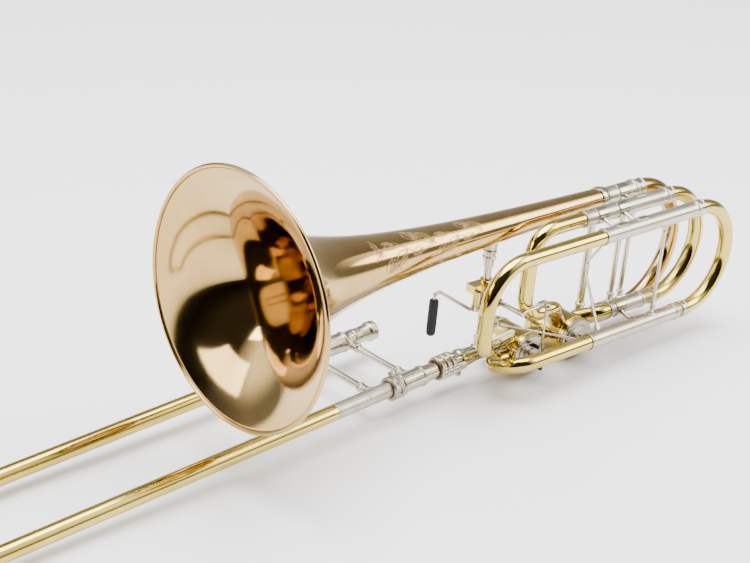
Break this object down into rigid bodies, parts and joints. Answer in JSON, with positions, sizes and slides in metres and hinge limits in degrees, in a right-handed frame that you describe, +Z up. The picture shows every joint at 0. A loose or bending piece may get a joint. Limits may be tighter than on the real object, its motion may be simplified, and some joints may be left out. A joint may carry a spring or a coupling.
{
  "type": "trombone",
  "caption": "Bass trombone with two in-line rotary valves, an open wrap, a working hand slide, tuning slides, triggers and a water key.",
  "frame": {"origin": "centre of the bounding box in plan, on the floor it rests on", "axes": "+X from the slide crook towards the tuning slides, +Y away from the valve loops, +Z up"},
  "size_m": [1.1765, 0.2412, 0.2987],
  "materials": {
    "rose_brass": "lacquered, polished",
    "rose_brass_wire": "lacquered, polished",
    "yellow_brass": "lacquered, polished",
    "nickel_silver": "polished nickel silver, lightly worn",
    "hard_chrome": "ground and plated",
    "bronze": "machined",
    "black_rubber": "matt"
  },
  "bodies": {
    "bell_section": {"bell": "rose_brass", "rim_wire": "rose_brass_wire", "bell_ferrule": "nickel_silver", "bell_brace": "nickel_silver", "slide_receiver": "nickel_silver", "neckpipe": "yellow_brass", "valve_1_casing": "yellow_brass", "valve_1_caps": "nickel_silver", "valve_link_tube": "yellow_brass", "valve_2_casing": "yellow_brass", "valve_2_caps": "nickel_silver", "main_lead_tube": "yellow_brass", "main_high_sleeve": "nickel_silver", "main_low_sleeve": "nickel_silver", "f_high_tube": "yellow_brass", "f_low_tube": "yellow_brass", "f_high_sleeve": "nickel_silver", "f_low_sleeve": "nickel_silver", "d_high_tube": "yellow_brass", "d_low_tube": "yellow_brass", "d_high_sleeve": "nickel_silver", "d_low_sleeve": "nickel_silver", "brace_post_1": "nickel_silver", "brace_post_2": "nickel_silver", "knee_brace": "nickel_silver", "loop_strut": "nickel_silver", "loop_bridges": "nickel_silver", "stop_bumpers": "black_rubber", "thumb_bracket": "nickel_silver", "finger_clamp": "nickel_silver", "inner_slide_tubes": "hard_chrome", "near_cork_barrel": "nickel_silver", "far_cork_barrel": "nickel_silver", "mouthpiece_receiver": "nickel_silver", "inner_brace": "nickel_silver"},
    "outer_slide": {"outer_slide_tubes": "yellow_brass", "outer_slide_tops": "nickel_silver", "outer_brace": "nickel_silver", "slide_crook": "yellow_brass", "crook_bumper": "black_rubber", "water_key_seat": "yellow_brass"},
    "water_key": {"water_key": "nickel_silver"},
    "main_tuning_slide": {"main_bow": "rose_brass", "main_legs": "nickel_silver", "main_slide_brace": "nickel_silver"},
    "f_tuning_slide": {"f_bow": "yellow_brass", "f_legs": "nickel_silver"},
    "d_tuning_slide": {"d_bow": "yellow_brass", "d_legs": "nickel_silver"},
    "thumb_trigger": {"thumb_lever": "nickel_silver"},
    "thumb_trigger_link": {"thumb_link": "nickel_silver"},
    "first_rotor": {"rotor_1": "bronze", "stop_arm_1": "nickel_silver"},
    "finger_trigger": {"finger_lever": "nickel_silver", "finger_grip": "black_rubber"},
    "finger_trigger_link": {"finger_link_rod": "nickel_silver"},
    "second_rotor": {"rotor_2": "bronze", "stop_arm_2": "nickel_silver"},
    "bell_lock_nut": {"bell_lock_nut": "nickel_silver"},
    "slide_lock_ring": {"slide_lock_ring": "nickel_silver"}
  },
  "joints": [
    {"name": "hand_slide", "type": "slide", "parent": "bell_section", "child": "outer_slide", "axis": [-0.9996, 0, -0.0267], "range_m": [0, 0.62]},
    {"name": "water_key_pivot", "type": "hinge", "parent": "outer_slide", "child": "water_key", "pos_m": [-0.45811, 0, 0.02343], "axis": [0, 1, 0], "range_deg": [0, 12], "stiffness_Nm_per_rad": 0.05, "springref_deg": -20.05},
    {"name": "main_tuning", "type": "slide", "parent": "bell_section", "child": "main_tuning_slide", "axis": [0.9992, 0, -0.0396], "range_m": [0, 0.024]},
    {"name": "f_tuning", "type": "slide", "parent": "bell_section", "child": "f_tuning_slide", "axis": [0.9992, 0, -0.0396], "range_m": [0, 0.1]},
    {"name": "d_tuning", "type": "slide", "parent": "bell_section", "child": "d_tuning_slide", "axis": [0.9992, 0, -0.0396], "range_m": [0, 0.034]},
    {"name": "thumb_lever_pivot", "type": "hinge", "parent": "bell_section", "child": "thumb_trigger", "pos_m": [0.28029, 0, 0.08723], "axis": [0, 1, 0], "range_deg": [0, 22.06], "stiffness_Nm_per_rad": 0.6, "springref_deg": -17.19},
    {"name": "thumb_link_pivot", "type": "hinge", "parent": "thumb_trigger", "child": "thumb_trigger_link", "pos_m": [0.31191, -0.048, 0.08798], "axis": [0, -1, 0], "range_deg": [0, 23.66]},
    {"name": "first_rotor_turn", "type": "hinge", "parent": "bell_section", "child": "first_rotor", "pos_m": [0.31389, 0, 0.02585], "axis": [0, -1, 0], "range_deg": [0, 90]},
    {"name": "finger_lever_pivot", "type": "hinge", "parent": "bell_section", "child": "finger_trigger", "pos_m": [0.25915, 0, 0.08406], "axis": [0.0396, 0, 0.9992], "range_deg": [0, 31.48], "stiffness_Nm_per_rad": 0.6, "springref_deg": -17.19},
    {"name": "finger_link_pivot", "type": "hinge", "parent": "finger_trigger", "child": "finger_trigger_link", "pos_m": [0.26179, -0.026, 0.07495], "axis": [-0.0396, 0, -0.9992], "range_deg": [0, 34.07]},
    {"name": "second_rotor_turn", "type": "hinge", "parent": "bell_section", "child": "second_rotor", "pos_m": [0.38583, 0, 0.023], "axis": [0, 1, 0], "range_deg": [0, 90]},
    {"name": "lock_nut_turn", "type": "hinge", "parent": "bell_section", "child": "bell_lock_nut", "pos_m": [0.21996, 0, 0.02957], "axis": [0.9996, 0, 0.0267], "range_deg": [-180, 180]},
    {"name": "slide_lock_turn", "type": "hinge", "parent": "bell_section", "child": "slide_lock_ring", "pos_m": [0.15399, 0, 0.0278], "axis": [0.9996, 0, 0.0267], "range_deg": [-25, 0]}
  ],
  "couplings": [
    {"joint": "thumb_link_pivot", "follows": "thumb_lever_pivot", "ratio": 1.0723},
    {"joint": "first_rotor_turn", "follows": "thumb_lever_pivot", "ratio": 4.0798},
    {"joint": "finger_link_pivot", "follows": "finger_lever_pivot", "ratio": 1.0822},
    {"joint": "second_rotor_turn", "follows": "finger_lever_pivot", "ratio": 2.859}
  ]
}
